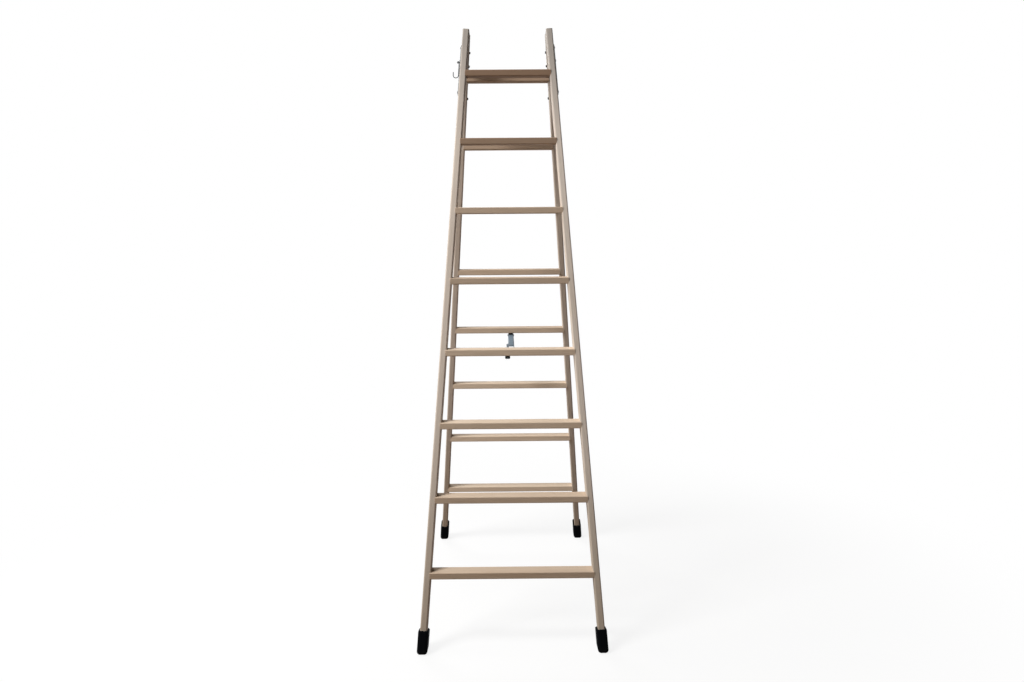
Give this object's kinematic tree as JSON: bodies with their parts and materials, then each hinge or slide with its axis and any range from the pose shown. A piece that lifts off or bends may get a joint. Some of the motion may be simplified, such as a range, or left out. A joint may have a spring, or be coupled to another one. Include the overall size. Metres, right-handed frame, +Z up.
{
  "type": "wooden stepladder",
  "caption": "Two-sided wooden stepladder with tapering rails, level board treads, rubber boots, strap hinges, a folding steel stay and a wire bucket hook.",
  "frame": {"origin": "on the floor, midway between the four boots", "axes": "+X to the right as seen from the front, +Y from the front section to the rear one, +Z up"},
  "size_m": [0.6836, 1.2444, 2.2575],
  "materials": {
    "rail_wood": "planed, clear varnish",
    "tread_wood": "planed, clear varnish",
    "boot_rubber": "matt black",
    "hinge_steel": "zinc plated",
    "stay_steel": "galvanised",
    "hook_steel": "zinc plated",
    "fastener_steel": "blackened"
  },
  "bodies": {
    "front_section": {"front_left_rail": "rail_wood", "front_right_rail": "rail_wood", "front_tread_1": "tread_wood", "front_tread_2": "tread_wood", "front_tread_3": "tread_wood", "front_tread_4": "tread_wood", "front_tread_5": "tread_wood", "front_tread_6": "tread_wood", "front_tread_7": "tread_wood", "front_tread_8": "tread_wood", "front_left_boot": "boot_rubber", "front_right_boot": "boot_rubber", "front_left_tread_screws": "fastener_steel", "front_right_tread_screws": "fastener_steel", "front_left_hinge_leaf": "hinge_steel", "front_right_hinge_leaf": "hinge_steel", "front_hinge_screws": "fastener_steel", "stay_front_bracket": "stay_steel", "stay_front_bracket_screws": "fastener_steel", "stay_front_pin": "stay_steel", "left_pivot_bolt": "fastener_steel", "right_pivot_bolt": "fastener_steel", "pivot_nuts": "fastener_steel", "hook_screw_eye": "hook_steel"},
    "rear_section": {"rear_left_rail": "rail_wood", "rear_right_rail": "rail_wood", "rear_tread_1": "tread_wood", "rear_tread_2": "tread_wood", "rear_tread_3": "tread_wood", "rear_tread_4": "tread_wood", "rear_tread_5": "tread_wood", "rear_tread_6": "tread_wood", "rear_tread_7": "tread_wood", "rear_tread_8": "tread_wood", "rear_left_boot": "boot_rubber", "rear_right_boot": "boot_rubber", "rear_left_tread_screws": "fastener_steel", "rear_right_tread_screws": "fastener_steel", "rear_left_hinge_leaf": "hinge_steel", "rear_right_hinge_leaf": "hinge_steel", "rear_hinge_bolts": "fastener_steel", "rear_hinge_washers": "fastener_steel", "rear_hinge_nuts": "fastener_steel", "stay_rear_bracket": "stay_steel", "stay_rear_bracket_screws": "fastener_steel", "stay_rear_pin": "stay_steel"},
    "stay_front_link": {"stay_front_link": "stay_steel", "stay_knuckle_stud": "stay_steel"},
    "stay_rear_link": {"stay_rear_link": "stay_steel", "stay_knuckle_pin": "stay_steel"},
    "bucket_hook": {"bucket_hook": "hook_steel"}
  },
  "joints": [
    {"name": "rear_fold", "type": "hinge", "parent": "front_section", "child": "rear_section", "pos_m": [0, 0, 2.176], "axis": [-1, 0, 0], "range_deg": [0, 27.84]},
    {"name": "stay_front_turn", "type": "hinge", "parent": "front_section", "child": "stay_front_link", "pos_m": [-0.0098, -0.32024, 1.023], "axis": [-1, 0, 0], "range_deg": [0, 97.93]},
    {"name": "stay_rear_turn", "type": "hinge", "parent": "rear_section", "child": "stay_rear_link", "pos_m": [0.0052, 0.32024, 1.023], "axis": [1, 0, 0], "range_deg": [0, 97.93]},
    {"name": "hook_swing", "type": "hinge", "parent": "front_section", "child": "bucket_hook", "pos_m": [-0.18908, -0.08278, 2.12756], "axis": [0, 1, 0], "range_deg": [0, 110]}
  ],
  "couplings": [
    {"joint": "stay_front_turn", "follows": "rear_fold", "ratio": 3.5173},
    {"joint": "stay_rear_turn", "follows": "rear_fold", "ratio": 3.5173}
  ]
}
